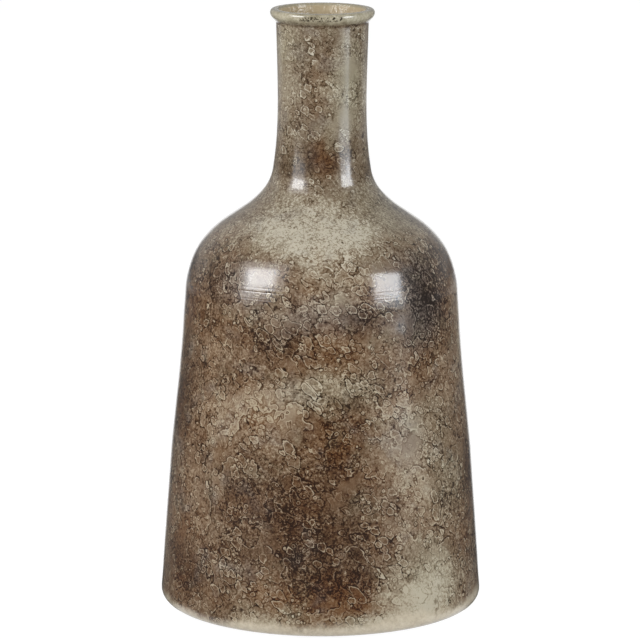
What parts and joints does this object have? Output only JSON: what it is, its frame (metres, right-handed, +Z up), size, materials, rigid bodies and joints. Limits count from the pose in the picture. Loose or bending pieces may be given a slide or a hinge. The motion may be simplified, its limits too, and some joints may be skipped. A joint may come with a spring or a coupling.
{
  "type": "bottle vase",
  "caption": "Tall bottle vase: wide tapered body, rounded shoulder, narrow waisted neck and thick flat-topped lip, glazed inside and out, on a bare foot ring.",
  "frame": {"origin": "on the table, at the centre of the foot ring", "axes": "+Z up along the vase's axis, from the foot to the mouth; the vase is the same all round it"},
  "size_m": [0.2684, 0.2684, 0.5],
  "materials": {
    "clay": "bare fired stoneware, turned",
    "slip": "bare fired slip",
    "outer_glaze": "glossy reactive glaze, mottled brown and cream",
    "inner_glaze": "glossy plain tan glaze"
  },
  "bodies": {
    "root": {"base_slab": "clay", "body_wall": "clay", "shoulder": "clay", "neck": "clay", "lip": "clay", "slip_base": "slip", "slip_shoulder": "slip", "slip_neck": "slip", "slip_lip": "slip", "outer_glaze": "outer_glaze", "inner_glaze": "inner_glaze"}
  },
  "joints": []
}
